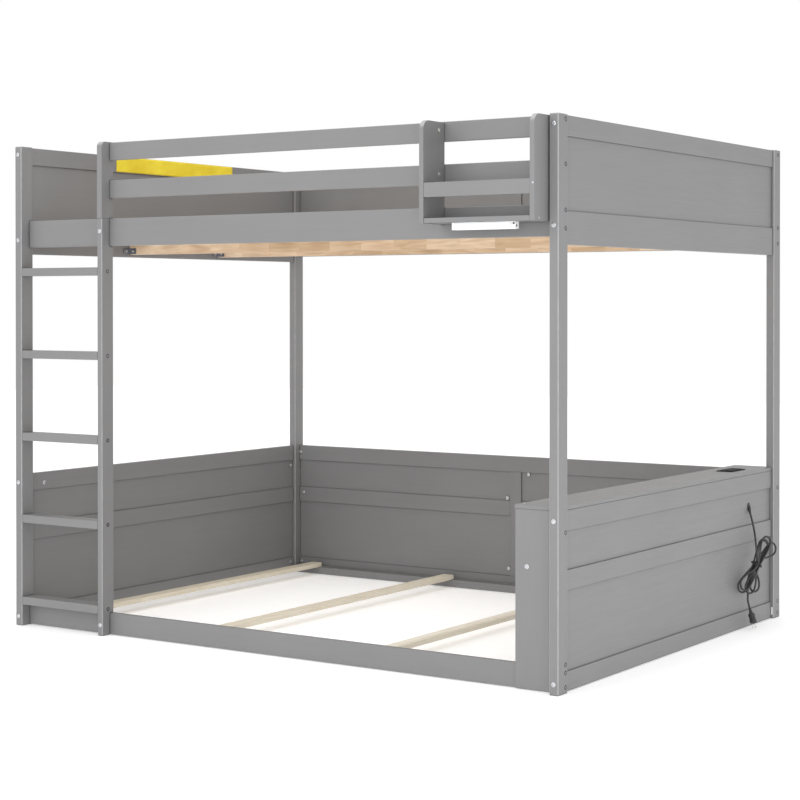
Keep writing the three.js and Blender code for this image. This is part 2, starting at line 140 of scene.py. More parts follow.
def squircle(half_x, half_y, power=4.0):
    """The radius, by angle, of a rounded rectangle."""
    return lambda angle: (abs(math.cos(angle) / half_x) ** power
                          + abs(math.sin(angle) / half_y) ** power) ** (-1 / power)


def slab(shape, low, high):
    """A box between two points in bed coordinates."""
    a, b = at(*low), at(*high)
    corners = [(a.x, a.y), (b.x, a.y), (b.x, b.y), (a.x, b.y)]
    loft(shape, [[(x, y, z) for x, y in corners] for z in (a.z, b.z)])


SHARP = 35     # degrees that an edge turns by before it is rounded


def bevel(piece, width, segments=2):
    """Rounds the sharp edges of a piece over a width in millimetres."""
    modifier = piece.modifiers.new("bevel", "BEVEL")
    modifier.width = width * MM
    modifier.segments = segments
    modifier.limit_method = "ANGLE"
    modifier.angle_limit = math.radians(SHARP)
    modifier.harden_normals = True


# ---- materials ------------------------------------------------------------------------------
class Finish:
    """A principled material whose colour, roughness and bump come from small node chains."""

    def __init__(self, name, roughness, metallic=0.0, specular=0.5):
        self.material = bpy.data.materials.new(name)
        self.material.use_nodes = True
        self.tree = self.material.node_tree
        self.shader = self.tree.nodes["Principled BSDF"]
        self.shader.inputs["Roughness"].default_value = roughness
        self.shader.inputs["Metallic"].default_value = metallic
        self.shader.inputs["Specular IOR Level"].default_value = specular
        self.place = self.tree.nodes.new("ShaderNodeTexCoord").outputs["Object"]
        self.bumped = None

    def node(self, kind, settings=None, **inputs):
        """A new node; each input is a value or another node's output."""
        made = self.tree.nodes.new(kind)
        for key, value in (settings or {}).items():
            setattr(made, key, value)
        for key, value in inputs.items():
            socket = made.inputs[int(key[1:])] if key[1:].isdigit() else made.inputs[key]
            if isinstance(value, bpy.types.NodeSocket):
                self.tree.links.new(value, socket)
            else:
                socket.default_value = value
        return made

    def stretched(self, scale):
        """Object coordinates in metres, scaled by axis."""
        return self.node("ShaderNodeMapping", Vector=self.place, Scale=scale).outputs["Vector"]

    def noise(self, scale, detail=3.0, rough=0.5, vector=None, distortion=0.0):
        made = self.node("ShaderNodeTexNoise", Vector=vector or self.place, Scale=scale,
                         Detail=detail, Roughness=rough, Distortion=distortion)
        return made.outputs["Fac"]

    def math(self, operation, a, b=0.0):
        return self.node("ShaderNodeMath", {"operation": operation}, _0=a, _1=b).outputs[0]

    def remap(self, value, low, high, to_low, to_high):
        made = self.node("ShaderNodeMapRange", _0=value, _1=low, _2=high, _3=to_low, _4=to_high)
        return made.outputs["Result"]

    def ramp(self, value, stops):
        """A colour ramp through (position, colour) stops."""
        made = self.node("ShaderNodeValToRGB", Fac=value)
        elements = made.color_ramp.elements
        while len(elements) < len(stops):
            elements.new(0.5)
        for element, (position, color) in zip(elements, stops):
            element.position = position
            element.color = (*color, 1)
        return made.outputs["Color"]

    def mix(self, factor, a, b, blend="MIX"):
        made = self.node("ShaderNodeMix", {"data_type": "RGBA", "blend_type": blend},
                         _0=factor, _6=a, _7=b)
        return made.outputs[2]

    def edge(self):
        """1 on rounded edges and 0 on faces square to an axis, from how the normal turns."""
        normal = self.node("ShaderNodeNewGeometry").outputs["Normal"]
        sizes = self.node("ShaderNodeVectorMath", {"operation": "ABSOLUTE"}, _0=normal)
        parts = self.node("ShaderNodeSeparateXYZ", Vector=sizes.outputs["Vector"]).outputs
        squareness = self.math("MAXIMUM", self.math("MAXIMUM", parts["X"], parts["Y"]), parts["Z"])
        return self.remap(squareness, 0.985, 0.86, 0.0, 1.0)

    def crevice(self, reach_mm):
        """0 deep in a joint between pieces and 1 in the open, over that reach."""
        made = self.node("ShaderNodeAmbientOcclusion", {"samples": 4}, Distance=reach_mm * MM)
        return self.remap(made.outputs["AO"], 0.3, 0.95, 0.0, 1.0)

    def color(self, value):
        """Sets the base colour from a node's output or an (r, g, b) colour."""
        socket = self.shader.inputs["Base Color"]
        if isinstance(value, bpy.types.NodeSocket):
            self.tree.links.new(value, socket)
        else:
            socket.default_value = (*value, 1)

    def roughness(self, value):
        self.tree.links.new(value, self.shader.inputs["Roughness"])

    def bump(self, height, depth_mm, strength):
        """Adds a height field of that depth over the earlier ones."""
        made = self.node("ShaderNodeBump", Height=height, Strength=strength,
                         Distance=depth_mm * MM)
        if self.bumped:
            self.tree.links.new(self.bumped, made.inputs["Normal"])
        self.bumped = made.outputs["Normal"]
        self.tree.links.new(self.bumped, self.shader.inputs["Normal"])


def along(axis, length, across):
    """Texture scales for a grain that runs along an axis."""
    return tuple(length if key == axis else across for key in "XYZ")


GREY = (0.195, 0.195, 0.198)
# How many times as bright a painted highlight makes the paint on rounded edges, by the axis that the
# piece runs along.
EDGE_HIGHLIGHT_GAIN = {"X": 1.2, "Y": 1.2, "Z": 1.9}
JOINT_SHADE_REACH = 6       # how far the painted shade in a joint darkens the paint, in millimetres


def grey_paint(axis):
    """Satin grey paint over wood: the grain just shows through, the rounded edges are lightened by a
    painted highlight, and the joints are darkened by painted shade.
    """
    finish = Finish(f"grey_paint_{axis}", 0.45, specular=0.4)
    grain = finish.noise(70, detail=5, rough=0.6, distortion=0.4,
                         vector=finish.stretched(along(axis, 0.05, 1.0)))
    brushing = finish.noise(260, detail=2, vector=finish.stretched(along(axis, 0.03, 1.0)))
    cloud = finish.noise(2.2, 3)
    speck = finish.noise(900, 2)
    tone = finish.math("ADD", finish.remap(cloud, 0.3, 0.7, -0.5, 0.5),
                       finish.remap(grain, 0.3, 0.7, -0.3, 0.3))
    shade = finish.remap(tone, -0.8, 0.8, 0.0, 1.0)
    dark = tuple(0.95 * c for c in GREY)
    light = tuple(1.05 * c for c in GREY)
    painted = finish.ramp(shade, [(0.0, dark), (1.0, light)])
    # Painted highlight: the rounded edges are lightened, in patches, as if catching the light.
    highlight_patches = finish.remap(finish.noise(38, 3), 0.3, 0.6, 0.6, 1.0)
    edge_highlight = tuple(EDGE_HIGHLIGHT_GAIN[axis] * c for c in GREY)
    painted = finish.mix(finish.math("MULTIPLY", finish.edge(), highlight_patches), painted, (*edge_highlight, 1))
    # Painted shade: the paint is darkened deep in the joints between pieces, from ambient occlusion.
    joint_shade = tuple(0.5 * c for c in GREY)
    finish.color(finish.mix(finish.crevice(JOINT_SHADE_REACH), (*joint_shade, 1), painted))
    finish.roughness(finish.remap(brushing, 0.25, 0.75, 0.40, 0.54))
    finish.bump(grain, 0.1, 0.25)
    finish.bump(brushing, 0.05, 0.35)
    finish.bump(speck, 0.03, 0.5)
    return finish.material


# Wood colours from the dark to the pale part of a growth ring: raw for the upper slats and the
# beams, pale for the slats near the floor. Blocks and knots darken them; on the beams the blocks,
# at the slats' pitch, are also painted shadow of the slats above.
RAW_STOPS = [(0.25, (0.55, 0.40, 0.27)), (0.5, (0.68, 0.52, 0.37)), (0.75, (0.79, 0.65, 0.49))]
PALE_STOPS = [(0.25, (0.77, 0.73, 0.63)), (0.5, (0.86, 0.83, 0.75)), (0.8, (0.92, 0.90, 0.84))]
BLOCK_AND_SLAT_SHADOW_TONES = [(0.0, (0.82, 0.77, 0.69)), (0.5, (0.95, 0.92, 0.88)), (1.0, (1.0, 1.0, 1.0))]
KNOT_BROWN = (0.26, 0.13, 0.06)


def pine(name, axis, stops, block_length, knot_scale, knot_size):
    """Bare softwood: growth rings, pores, and blocks along X of slightly different tone; on the beams,
    whose blocks are at the slats' pitch, the blocks are also painted shadow.
    """
    finish = Finish(name, 0.62, specular=0.3)
    along_x = finish.node("ShaderNodeSeparateXYZ", Vector=finish.place).outputs["X"]
    block_number = finish.math("FLOOR", finish.math("DIVIDE", along_x, block_length))
    block_tone = finish.node("ShaderNodeTexWhiteNoise", {"noise_dimensions": "1D"},
                             W=block_number).outputs["Value"]
    shifted = finish.node("ShaderNodeCombineXYZ", X=block_tone, Y=block_tone, Z=block_tone)
    place = finish.node("ShaderNodeVectorMath", {"operation": "ADD"}, _0=finish.place,
                        _1=shifted.outputs["Vector"]).outputs["Vector"]
    squeezed = finish.node("ShaderNodeMapping", Vector=place,
                           Scale=along(axis, 0.09, 1.0)).outputs["Vector"]
    rings = finish.noise(55, vector=squeezed, distortion=1.2)
    fibre = finish.noise(420, rough=0.6, vector=finish.stretched(along(axis, 0.02, 1.0)))
    wood = finish.ramp(rings, stops)
    # The blocks darken the wood by their tone; on the beams this is also painted shadow of the slats.
    toned = finish.mix(1.0, wood, finish.ramp(block_tone, BLOCK_AND_SLAT_SHADOW_TONES), "MULTIPLY")
    spots = finish.node("ShaderNodeTexVoronoi", Vector=finish.stretched(along(axis, 0.55, 1.0)),
                        Scale=knot_scale).outputs["Distance"]
    knot = finish.remap(spots, 0.03, knot_size, 1.0, 0.0)
    finish.color(finish.mix(knot, toned, (*KNOT_BROWN, 1)))
    finish.roughness(finish.remap(fibre, 0.3, 0.7, 0.52, 0.72))
    finish.bump(rings, 0.2, 0.3)
    finish.bump(fibre, 0.12, 0.5)
    return finish.material


def plastic(name, color, roughness, grain_mm, varied=0.06, specular=0.5):
    """Moulded plastic with a fine pebbled surface and slight handling marks."""
    finish = Finish(name, roughness, specular=specular)
    pebble = finish.noise(1400, 2)
    smear = finish.noise(14, 4, 0.6)
    haze = 0.004
    light = tuple(min(1.0, c * (1 + varied) + haze) for c in color)
    dark = tuple(c * (1 - varied) for c in color)
    finish.color(finish.ramp(smear, [(0.3, dark), (0.7, light)]))
    finish.roughness(finish.remap(smear, 0.3, 0.7, roughness - 0.07, roughness + 0.09))
    finish.bump(pebble, grain_mm, 0.6)
    return finish.material


def metal(name, color, roughness):
    """Zinc-plated or brushed steel with turning marks."""
    finish = Finish(name, roughness, metallic=1.0)
    marks = finish.noise(2600, 3)
    tarnish = finish.noise(160, 3)
    finish.color(finish.ramp(tarnish, [(0.3, tuple(0.82 * c for c in color)), (0.7, color)]))
    finish.roughness(finish.remap(tarnish, 0.3, 0.7, roughness - 0.08, roughness + 0.1))
    finish.bump(marks, 0.02, 0.5)
    return finish.material


def yellow_paper():
    """A strip of plain coloured paper, slightly creased."""
    finish = Finish("yellow_paper", 0.7, specular=0.25)
    blotch = finish.noise(9, 4, 0.6)
    fibre = finish.noise(700, 3)
    crease = finish.noise(5, detail=2, vector=finish.stretched((1, 0.5, 3)))
    finish.color(finish.ramp(blotch, [(0.3, (0.66, 0.50, 0.020)), (0.7, (0.82, 0.68, 0.055))]))
    finish.roughness(finish.remap(blotch, 0.3, 0.7, 0.6, 0.78))
    finish.bump(crease, 1.2, 0.5)
    finish.bump(fibre, 0.04, 0.5)
    return finish.material


def webbing():
    """Woven tape, pale, with a plain weave."""
    finish = Finish("webbing", 0.8, specular=0.2)
    parts = finish.node("ShaderNodeSeparateXYZ", Vector=finish.place).outputs
    warp_mm, weft_mm = 1.8, 2.4
    warp = finish.math("SINE", finish.math("MULTIPLY", parts["Y"], 2 * math.pi / (warp_mm * MM)))
    weft = finish.math("SINE", finish.math("MULTIPLY", parts["X"], 2 * math.pi / (weft_mm * MM)))
    weave = finish.remap(finish.math("MULTIPLY", warp, weft), -1.0, 1.0, 0.0, 1.0)
    soil = finish.noise(20, 3)
    cloth = finish.ramp(weave, [(0.0, (0.55, 0.54, 0.51)), (1.0, (0.78, 0.77, 0.74))])
    finish.color(finish.mix(finish.remap(soil, 0.35, 0.75, 0.0, 0.35), cloth, (0.5, 0.47, 0.41, 1)))
    finish.roughness(finish.remap(soil, 0.3, 0.7, 0.74, 0.88))
    finish.bump(weave, 0.3, 0.7)
    return finish.material


PAINT = {axis: grey_paint(axis) for axis in "XYZ"}
# The beam's blocks are laid at the slats' pitch: blocks of their own tone, and also painted shadow of
# the slats above.
BEAM_PINE = pine("beam_pine", "X", RAW_STOPS, 0.137, 2.6, 0.075)
SLAT_PINE = pine("slat_pine", "Y", RAW_STOPS, 0.1373, 2.2, 0.06)
FLOOR_PINE = pine("floor_pine", "Y", PALE_STOPS, 0.4, 1.6, 0.035)
BLACK = plastic("black_plastic", (0.022, 0.022, 0.024), 0.42, 0.03)
SOCKET_BLACK = plastic("socket_plastic", (0.013, 0.013, 0.014), 0.62, 0.02, specular=0.12)
SHEATH = plastic("cord_sheath", (0.016, 0.016, 0.017), 0.34, 0.012)
WHITE = plastic("white_plastic", (0.86, 0.87, 0.88), 0.35, 0.01, 0.02)
FROSTED = plastic("frosted_lens", (0.93, 0.95, 0.97), 0.22, 0.02, 0.01)
CAP_WHITE = plastic("white_cap", (0.80, 0.80, 0.79), 0.4, 0.02, 0.03)
PORT_AND_HOLE_SHADE_BLACK = plastic("port_and_hole_shade_black", (0.035, 0.035, 0.037), 0.5, 0.02)
ZINC = metal("zinc", (0.66, 0.67, 0.69), 0.3)
BRIGHT = metal("nickel", (0.72, 0.71, 0.68), 0.27)
BLUED = metal("blued_steel", (0.30, 0.31, 0.34), 0.35)
YELLOW = yellow_paper()
WEBBING = webbing()


# ---- power cord -----------------------------------------------------------------------------
CORD_DIAMETER = 7
EXIT = (2204, 1399, 428)
RELIEF_TIP = (2214, 1390, 405)
DROP_POINTS = [
    (2214.5, 1389.7, 403.5), (2222, 1386, 384), (2230, 1381, 362), (2238, 1374, 340),
    (2245, 1364, 326), (2250, 1355, 319), (2252, 1351.5, 314),
]
TAIL_POINTS = [
    (2234.6, 1325.5, 124), (2236, 1321.5, 108), (2239.2, 1321.2, 92.4), (2241.2, 1326.4, 76.7),
]
PLUG_TOP = (2241.4, 1326.8, 75.5)
PLUG_TIP = (2251, 1351, 3)

HANK_CENTRE = (2256, 1358, 228)
HANK_TURN = math.radians(22)
HANK_H = Vector((math.sin(HANK_TURN), math.cos(HANK_TURN), 0))
HANK_N = Vector((math.cos(HANK_TURN), -math.sin(HANK_TURN), 0))
HANK_LEAN = Vector((36, 48)).normalized()
WAIST = 3.9          # half the distance between the waist's two columns of strands
LAYER = 7.2          # how far each turn lies behind the one before
# The end loops of the four turns, from the front to the back: (h, z) of the centre, radius.
LOWER_LOOPS = [((-68, -60), 23.5), ((-38, -75), 23), ((-9, -74), 22), ((-60, -72), 22.5)]
UPPER_LOOPS = [((36, 74), 22), ((29, 59), 22.5), ((75, 47), 22.5), ((43, 61), 22.5)]
LOOP_POINTS = 7


def in_hank(h, z, n):
    """A point of the hank in bed coordinates: h sideways, z up, n towards the room."""
    return Vector(HANK_CENTRE) + HANK_H * h + AXES["Z"] * z + HANK_N * n


def end_loop(centre, radius, level):
    """Points round one end of a turn, from the tangent that arrives to the one that leaves."""
    away = math.atan2(centre[1], centre[0])
    opening = math.pi - math.acos(radius / math.hypot(*centre))
    steps = [2 * k / (LOOP_POINTS - 1) - 1 for k in range(LOOP_POINTS)]
    angles = [away + opening * s for s in steps]
    return [in_hank(centre[0] + radius * math.cos(a), centre[1] + radius * math.sin(a), level)
            for a in angles]


def waist_point(side, level):
    """Where a turn passes through the hank's waist, on either side of its middle."""
    return in_hank(HANK_LEAN.y * WAIST * side, -HANK_LEAN.x * WAIST * side, level)


def cord_route():
    """The route's points: down from the exit, round the four turns, and on to the plug."""
    points = [Vector(EXIT) + Vector((-1, 0.5, 1.5)), Vector((2208.5, 1395.5, 419))]
    points += [Vector(p) for p in DROP_POINTS]
    points += [in_hank(-9, 42, 6.5), in_hank(-11.5, 3, 13.5)]
    for turn, (lower, upper) in enumerate(zip(LOWER_LOOPS, UPPER_LOOPS)):
        points += end_loop(*lower, LAYER * (1.5 - turn))
        points.append(waist_point(1, LAYER * (1.25 - turn)))
        points += end_loop(*upper, LAYER * (1.0 - turn))
        points.append(waist_point(-1, LAYER * (0.75 - turn)))
    points += [in_hank(-24, -56, -22), in_hank(-33, -86, -14.5)]
    points += [Vector(p) for p in TAIL_POINTS]
    return points


def curve_through(name, points, radius):
    """A round tube through points given in bed coordinates."""
    data = bpy.data.curves.new(name, "CURVE")
    data.dimensions = "3D"
    data.bevel_depth = radius * MM
    data.bevel_resolution = 4
    data.resolution_u = 10
    data.use_fill_caps = True
    spline = data.splines.new("BEZIER")
    spline.bezier_points.add(len(points) - 1)
    for knot, point in zip(spline.bezier_points, points):
        knot.co = at(*point)
        knot.handle_left_type = knot.handle_right_type = "AUTO"
    return data


BLADE_OFFSET = 6.35   # from the middle of a plug or an outlet to each blade


def make_plug():
    """A moulded three-pin plug: ribbed neck, waisted grip, two blades and an earth pin."""
    top = at(*PLUG_TOP)
    axis = (at(*PLUG_TIP) - top).normalized()
    turn = (-AXES["Z"]).rotation_difference(axis).to_matrix().to_4x4()
    place = Matrix.Translation(top) @ turn
    body = bmesh.new()
    rings = [circle(4.2, 0), circle(4.6, -0.6)]
    ribs, rib_pitch, widening = 5, 3.2, 0.55
    for k in range(ribs):
        z = -2.2 - rib_pitch * k
        grow = widening * k
        rings += [circle(4.5 + grow, z), circle(4.5 + grow, z - 1.6),
                  circle(3.9 + grow, z - 1.9), circle(3.9 + grow, z - 2.9)]
    # Half width, half depth and distance from the cord's end, down the moulded grip.
    outline = [(7.6, 7.0, 18.6), (10.2, 8.4, 21), (12.0, 9.4, 25), (12.2, 9.2, 29),
               (11.2, 8.6, 34), (11.0, 8.6, 39), (12.2, 9.6, 45), (13.0, 10.0, 49),
               (13.0, 10.0, 53), (12.4, 9.4, 54)]
    rings += [circle(squircle(x, y, 2.6), -z) for x, y, z in outline]
    loft(body, rings, place)
    grips, grip_pitch = 4, 2.6
    for side in (-1, 1):
        for k in range(grips):
            grip = place @ Matrix.Translation(Vector((0, side * 8.2, -32 - grip_pitch * k)) * MM)
            loft(body, [circle(squircle(7.5, 1.2), -0.7), circle(squircle(7.5, 1.2), 0.7)], grip)
    plug = mesh_object("plug_body", body, BLACK)
    pins = bmesh.new()
    root, tip = -53.5, -74
    for x in (-BLADE_OFFSET, BLADE_OFFSET):
        blade = place @ Matrix.Translation(Vector((x, -3, 0)) * MM)
        loft(pins, [circle(squircle(0.8, 3.2, 8), root), circle(squircle(0.8, 3.2, 8), tip + 1.4),
                    circle(squircle(0.5, 2.6, 8), tip)], blade)
    earth = place @ Matrix.Translation(Vector((0, 6.5, 0)) * MM)
    loft(pins, [circle(2.4, root, 16), circle(2.4, tip + 2.2, 16), circle(1.9, tip + 0.6, 16),
                circle(0.8, tip, 16)], earth)
    prongs = mesh_object("plug_pins", pins, BRIGHT)
    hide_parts("power_plug")
    return [plug, prongs]


def make_relief():
    """The tapered, ribbed sleeve where the cord comes out of the panel."""
    shape = bmesh.new()
    start, tip = at(*EXIT), at(*RELIEF_TIP)
    loft(shape, [circle(10, 0.3), circle(10, 2.2), circle(9.2, 3.2), circle(6.6, 3.5)],
         facing(start, RIGHT))
    axis = (tip - start).normalized()
    long = (tip - start).length / MM
    wide, narrow, first, ribs = 6.4, 4.2, 3, 6
    rings = [circle(wide, first / 2)]
    for k in range(ribs):
        z = first + (long - first) * k / ribs
        size = wide - (wide - narrow) * k / ribs
        rings += [circle(size, z), circle(size, z + 2.4), circle(size - 0.9, z + 2.7)]
    rings += [circle(narrow, long), circle(3.55, long + 0.6)]
    loft(shape, rings, facing(start, axis))
    relief = mesh_object("strain_relief", shape, SHEATH)
    bevel(relief, 0.25)
    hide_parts("cord_relief")
    return relief


def make_tie():
    """A wire tie wound twice round the hank's waist, with its twisted ends."""
    across = HANK_H * HANK_LEAN.y - AXES["Z"] * HANK_LEAN.x
    lean = HANK_H * HANK_LEAN.x + AXES["Z"] * HANK_LEAN.y
    half_across, half_deep = 12.8, 20
    centre = in_hank(0, 0, -1.3) - across * 3.6
    reach = squircle(half_across, half_deep)
    winds, steps, tail_steps, rise = 2, 56, 8, 4
    points = []
    for k in range(steps + 1):
        angle = 2 * math.pi * winds * k / steps
        size = reach(angle)
        points.append(centre + across * size * math.cos(angle) + HANK_N * size * math.sin(angle)
                      + lean * (rise * k / steps - rise / 2))
    for k in range(1, tail_steps + 1):
        swing = 0.9 * math.pi * k
        points.append(centre + across * (half_across + 2.2 * k)
                      + lean * (rise / 2 + 1.2 * math.sin(swing)) + HANK_N * 1.2 * math.cos(swing))
    data = curve_through("hank_tie", points, 0.9)
    return add_object("hank_tie", data, BLACK)


def make_cord():
    """The mains lead with its plug, strain relief and tie."""
    data = curve_through("power_cord", cord_route(), CORD_DIAMETER / 2)
    cord = add_object("power_cord", data, SHEATH)
    pieces = [*make_plug(), make_relief(), make_tie()]
    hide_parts("cord_drop", "cord_hank", "cord_tail")


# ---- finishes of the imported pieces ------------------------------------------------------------
# Bevel width in millimetres by the start of the node's name; the first match counts.
EDGES = [
    ("post", 3.5), ("ladder_tread", 3.0), ("ladder", 3.0), ("guard", 2.6), ("side_rail", 2.6),
    ("front_foot", 2.6), ("centre_beam", 1.6), ("floor_slat", 1.6), ("slat_deck", 0.35),
    ("tray", 2.2), ("light_bar", 0.9), ("light_button", 0.8), ("headboard", 1.6),
    ("charging", 1.0), ("left", 2.0), ("right", 2.0), ("back", 2.0),
]
# Finishes other than the grey paint, by the start of the node's name.
SPECIAL = {
    "centre_beam": BEAM_PINE, "slat_deck": SLAT_PINE, "floor_slat": FLOOR_PINE,
    "light_b": WHITE, "charging": SOCKET_BLACK,
}
PANEL_EDGE = 0.5
WELD_GAP = 0.02


def dress_packed_nodes():
    """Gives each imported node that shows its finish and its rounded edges."""
    for name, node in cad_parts.items():
        if node.hide_render:
            continue
        low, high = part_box(name)
        size = high - low
        axis = "XYZ"[max(range(3), key=lambda k: size[k])]
        found = [m for start, m in SPECIAL.items() if name.startswith(start)]
        material = found[0] if found else PAINT[axis]
        for holder in node.material_slots:
            holder.material = material
        node.modifiers.new("weld", "WELD").merge_threshold = WELD_GAP * MM
        width = next(w for start, w in EDGES if name.startswith(start))
        bevel(node, PANEL_EDGE if name.endswith("panel") else width, 3)


# ---- fasteners ------------------------------------------------------------------------------
def cap_bolt(shape, point, direction, size=7.5):
    """A flanged bolt head with a hex socket, turned by where it is."""
    rings = [circle(size, -0.3), circle(size, 0.7), circle(size * 0.93, 1.1),
             circle(size * 0.68, 1.5), circle(size * 0.6, 2.1), circle(hexagon(size * 0.42), 2.2),
             circle(hexagon(size * 0.4), 0.4), circle(size * 0.1, 0.2)]
    loft(shape, rings, facing(point, direction, point.z * 37))


def barrel(shape, point, direction, size=3.6):
    """The slotted end of a cross dowel, inside its ring of painted shade."""
    rings = [circle(size, -0.3), circle(size, 0.35), circle(size * 0.92, 0.5),
             circle(squircle(size * 0.75, size * 0.16, 8), 0.5),
             circle(squircle(size * 0.7, size * 0.12, 8), 0.1)]
    loft(shape, rings, facing(point, direction, point.y * 23))


def hole_shade_ring(shape, point, direction, size=7.0):
    """A dark ring of painted shade: it stands in for the shade in the hole that a cross dowel sits in.
    """
    rings = [circle(size, -0.3), circle(size, 0.25), circle(size * 0.94, 0.45),
             circle(size * 0.86, 0.45), circle(size * 0.8, 0.12), circle(size * 0.1, 0.1)]
    loft(shape, rings, facing(point, direction))


def screw(shape, point, direction, size=3.4):
    """A small screw head with a cross recess, turned by where it is."""
    rings = [circle(size, -0.3), circle(size, 0.25), circle(size * 0.9, 0.5),
             circle(lambda a: size * (0.22 + 0.38 * abs(math.cos(2 * a)) ** 3), 0.55),
             circle(lambda a: size * (0.16 + 0.3 * abs(math.cos(2 * a)) ** 3), 0.1),
             circle(size * 0.05, 0.05)]
    loft(shape, rings, facing(point, direction, point.x * 19))


def fixed(name, maker, places, material):
    """One piece for a group of alike fasteners at (x, y, z, direction) places."""
    shape = bmesh.new()
    for x, y, z, direction in places:
        maker(shape, at(x, y, z), direction)
    mesh_object(name, shape, material, smooth=False)


# The bolts in the front faces: x of the post's middle, and their heights.
FRONT_BOLTS = {
    "left": (14, (33, 510, 1372, 1676)),
    "stile": (407, (37, 1396)),
    "right": (2204, (33, 511, 1378, 1674)),
}
BACK_BOLT_X = (14, 2206)
BACK_BOLT_HEIGHTS = (33, 510, 1378, 1674)
# The nuts in the posts' side faces: y of each column, and their heights.
POST_NUTS = [(44, (19, 62, 86, 475, 1369, 1423, 1558, 1690)), (1623, (18, 60, 475, 1365, 1422, 1688))]
TREAD_NUT_Y = 28.5
TREAD_HEIGHTS = [90 + 292 * k for k in range(5)]
STILE_FACE = 418
# The bolts inside the lower bed: (x, z) on the back wall and (y, z) on the left wall.
BACK_WALL_FACE = 1619
BACK_WALL_BOLTS = [(1070, 370), (1168, 469), (1076, 90), (52, 338), (36, 510), (40, 41)]
LEFT_WALL_FACE = 21
LEFT_WALL_BOLTS = [(1569, 455), (1569, 41), (120, 500)]


def add_fasteners():
    """Bolts, nuts and screws on the posts, the walls, the tray and the headboard, and one cap."""
    for side, (x, heights) in FRONT_BOLTS.items():
        fixed(f"bolts_front_{side}", cap_bolt, [(x, 0, z, FRONT) for z in heights], ZINC)
    fixed("bolts_headboard", cap_bolt, [(2095, 32, 367, FRONT)], ZINC)

    steps = [(x, TREAD_NUT_Y, z, out) for x, out in ((STILE_FACE, RIGHT), (0, LEFT))
             for z in TREAD_HEIGHTS]
    ends = [(x, y, z, out) for x, out in ((LENGTH, RIGHT), (0, LEFT))
            for y, heights in POST_NUTS for z in heights]
    for name, places in (("steps", steps), ("ends", ends)):
        # Dark rings of painted shade round each nut, where its hole would lie in shade.
        fixed(f"nut_hole_shade_rings_{name}", hole_shade_ring, places, PORT_AND_HOLE_SHADE_BLACK)
        fixed(f"nuts_{name}", barrel, places, BLUED)

    back = [(x, BACK_WALL_FACE, z, FRONT) for x, z in BACK_WALL_BOLTS]
    fixed("bolts_back_wall", cap_bolt, back, ZINC)
    left = [(LEFT_WALL_FACE, y, z, RIGHT) for y, z in LEFT_WALL_BOLTS]
    fixed("bolts_left_wall", cap_bolt, left, ZINC)
    outer_back = [(x, WIDTH, z, BACK) for x in BACK_BOLT_X for z in BACK_BOLT_HEIGHTS]
    fixed("bolts_back_posts", cap_bolt, outer_back, ZINC)

    tray = [(2180, -80, 1499, FRONT), (2185, -51, 1397, RIGHT), (1785, -51, 1397, LEFT)]
    fixed("screws_tray", screw, tray, ZINC)
    fixed("bolts_tray", cap_bolt, [(1800, 7, z, RIGHT) for z in (1674, 1541)], BRIGHT)
    fixed("screws_left_rail", screw, [(25.5, 78, z, RIGHT) for z in (1655, 1688)], BLUED)
    fixed("screws_lid", screw, [(2070, y, 550, UP) for y in (60, 830, 1590)], ZINC)
    cap = bmesh.new()
    slab(cap, (2211, 1586.2, 14), (2216, 1588.2, 42))
    bevel(mesh_object("cap_back_post", cap, CAP_WHITE, smooth=False), 1.5, 3)


def add_beam_brackets():
    """An angle bracket and its screws at each end of the two centre beams."""
    plates, screws = bmesh.new(), bmesh.new()
    thick, wide, deep, gap, lap, head = 2.2, 34, 22, 0.3, 0.2, 4.2
    for beam in ("centre_beam_front", "centre_beam_back"):
        low, high = bed_box(beam)
        y = low.y - gap
        z = low.z + 2
        for end, towards in ((low.x, 1), (high.x, -1)):
            x0, x1 = sorted((end - lap * towards, end + thick * towards))
            slab(plates, (x0, low.y - wide, z), (x1, y, z + deep))
            x0, x1 = sorted((end - lap * towards, end + wide * towards))
            slab(plates, (x0, y - thick, z), (x1, y, z + deep))
            middle = z + deep / 2
            screw(screws, at(end + thick * towards, low.y - wide / 2, middle), RIGHT * towards, head)
            screw(screws, at(end + wide * 0.6 * towards, y - thick, middle), FRONT, head)
    piece = mesh_object("beam_brackets", plates, BLUED, smooth=False)
    bevel(piece, 0.6)
    mesh_object("beam_bracket_screws", screws, BRIGHT, smooth=False)


def add_straps():
    """The two webbing straps that hold the slats at their spacing, and their staples."""
    low, high = bed_box("slat_deck")
    play, slat, count, inset = 3, 68, 16, 6
    clear = high.y - low.y + 2 * play
    pitch = (high.x - low.x - slat) / (count - 1)
    half_wide, half_thick, proud = 15.5, 1.1, 0.3
    leg_offset, half_leg, half_staple = 14, 0.6, 6
    top = high.z + proud
    tapes, staples = bmesh.new(), bmesh.new()
    for share in (0.2, 0.8):
        y = low.y - play + clear * share
        start = at(low.x + inset - proud, y, top - half_thick)
        long = high.x - low.x - 2 * inset + 2 * proud
        section = squircle(half_wide, half_thick, 8)
        steps = 4 * count
        rings = [circle(section, long * k / steps, 32) for k in range(steps + 1)]
        loft(tapes, rings, facing(start, RIGHT))
        for i in range(count):
            for dx in (-leg_offset, leg_offset):
                x = low.x + slat / 2 + i * pitch + dx
                slab(staples, (x - half_leg, y - half_staple, top - proud),
                     (x + half_leg, y + half_staple, top + 0.5))
    mesh_object("slat_straps", tapes, WEBBING)
    bevel(mesh_object("strap_staples", staples, ZINC, smooth=False), 0.3)


